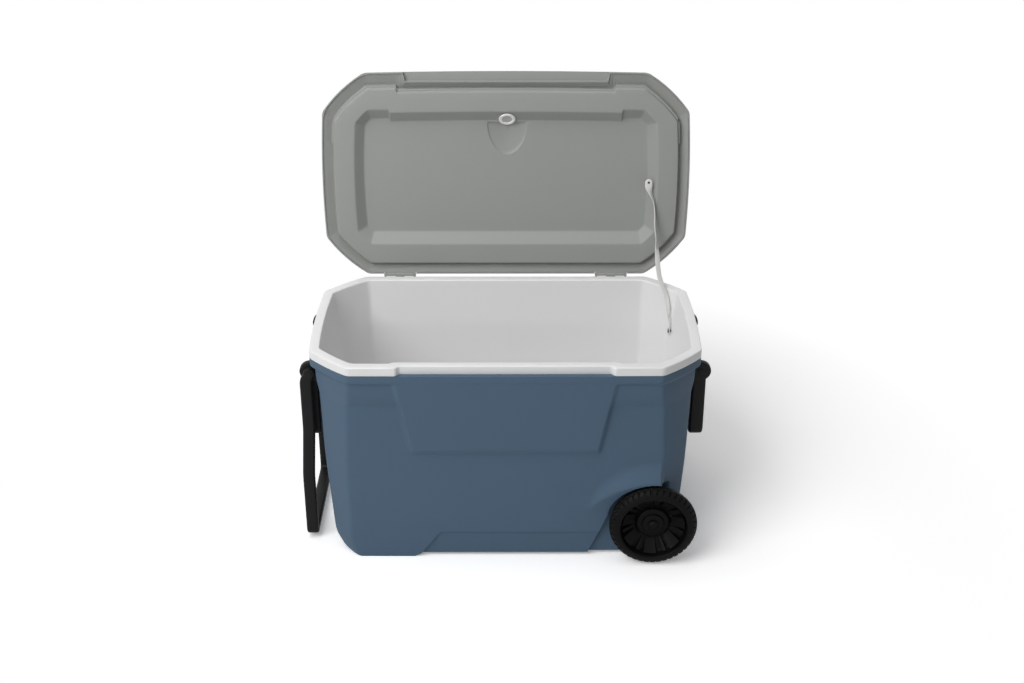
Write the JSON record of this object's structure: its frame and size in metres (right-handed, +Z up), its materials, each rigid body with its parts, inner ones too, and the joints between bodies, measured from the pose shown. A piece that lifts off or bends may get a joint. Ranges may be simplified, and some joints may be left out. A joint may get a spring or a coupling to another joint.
{
  "type": "wheeled cooler",
  "caption": "Foam-filled wheeled cooler with a lift-up lid on hinges, a stop strap, carry handles, a long tow handle, wheels on an axle and a drain.",
  "frame": {"origin": "on the floor, under the middle of the box round the open cooler", "axes": "+Z up, +X along the cooler towards the wheels, +Y towards the hinges, so the front faces -Y"},
  "size_m": [0.7488, 0.5112, 0.7971],
  "materials": {
    "tub_blue": "moulded, faintly textured, slate blue",
    "lid_grey": "moulded, faintly textured, warm grey",
    "liner_white": "smooth white",
    "handle_black": "moulded black",
    "steel": "zinc-plated",
    "foam_yellow": "rigid foam, hidden",
    "gasket_rubber": "matt",
    "strap_white": "soft moulded strap"
  },
  "bodies": {
    "tub": {"shell": "tub_blue", "tub_foam": "foam_yellow", "liner": "liner_white", "drain_fitting": "handle_black", "drain_gasket": "gasket_rubber", "drain_nut": "handle_black", "lid_strap": "strap_white", "strap_pin_tub": "handle_black", "axle": "steel", "axle_cap_front": "handle_black", "axle_cap_rear": "handle_black", "washer_front": "steel", "washer_rear": "steel", "ear_left_front": "handle_black", "ear_left_rear": "handle_black", "ear_right_front": "handle_black", "ear_right_rear": "handle_black", "pivot_pin_left_front": "steel", "pivot_pin_left_rear": "steel", "pivot_pin_right_front": "steel", "pivot_pin_right_rear": "steel", "ear_screw_left_front_1": "steel", "ear_screw_left_front_2": "steel", "ear_screw_left_rear_1": "steel", "ear_screw_left_rear_2": "steel", "ear_screw_right_front_1": "steel", "ear_screw_right_front_2": "steel", "ear_screw_right_rear_1": "steel", "ear_screw_right_rear_2": "steel", "hinge_leaf_tub_left": "steel", "hinge_leaf_tub_right": "steel", "hinge_pin_left": "steel", "hinge_pin_right": "steel", "hinge_screw_tub_left_1": "steel", "hinge_screw_tub_left_2": "steel", "hinge_screw_tub_right_1": "steel", "hinge_screw_tub_right_2": "steel"},
    "lid": {"lid_cap": "lid_grey", "lid_tray": "lid_grey", "lid_foam": "foam_yellow", "fill_plug": "liner_white", "strap_pin_lid": "handle_black", "hinge_leaf_lid_left": "steel", "hinge_leaf_lid_right": "steel", "hinge_screw_lid_left_1": "steel", "hinge_screw_lid_left_2": "steel", "hinge_screw_lid_right_1": "steel", "hinge_screw_lid_right_2": "steel"},
    "carry_handle_left": {"carry_handle_left": "handle_black"},
    "carry_handle_right": {"carry_handle_right": "handle_black"},
    "tow_handle": {"tow_handle": "handle_black"},
    "wheel_front": {"wheel_front": "handle_black"},
    "wheel_rear": {"wheel_rear": "handle_black"},
    "drain_plug": {"drain_plug": "handle_black"}
  },
  "joints": [
    {"name": "lid_hinge", "type": "hinge", "parent": "tub", "child": "lid", "pos_m": [0.00187, 0.14893, 0.413], "axis": [1, 0, 0], "range_deg": [0, 100.5], "deforming": ["lid_strap"]},
    {"name": "carry_handle_left_pivot", "type": "hinge", "parent": "tub", "child": "carry_handle_left", "pos_m": [-0.35212, -0.04857, 0.3555], "axis": [0, 1, 0], "range_deg": [0, 130]},
    {"name": "carry_handle_right_pivot", "type": "hinge", "parent": "tub", "child": "carry_handle_right", "pos_m": [0.35587, -0.04857, 0.3555], "axis": [0, -1, 0], "range_deg": [0, 130]},
    {"name": "tow_handle_pivot", "type": "hinge", "parent": "tub", "child": "tow_handle", "pos_m": [-0.35212, -0.04857, 0.3555], "axis": [0, 1, 0], "range_deg": [0, 130]},
    {"name": "wheel_front_spin", "type": "hinge", "parent": "tub", "child": "wheel_front", "pos_m": [0.27388, -0.23857, 0.081], "axis": [0, 1, 0], "continuous": true},
    {"name": "wheel_rear_spin", "type": "hinge", "parent": "tub", "child": "wheel_rear", "pos_m": [0.27388, 0.14143, 0.081], "axis": [0, 1, 0], "continuous": true},
    {"name": "drain_plug_pull", "type": "slide", "parent": "tub", "child": "drain_plug", "axis": [-1, 0, 0], "range_m": [0, 0.03]}
  ]
}
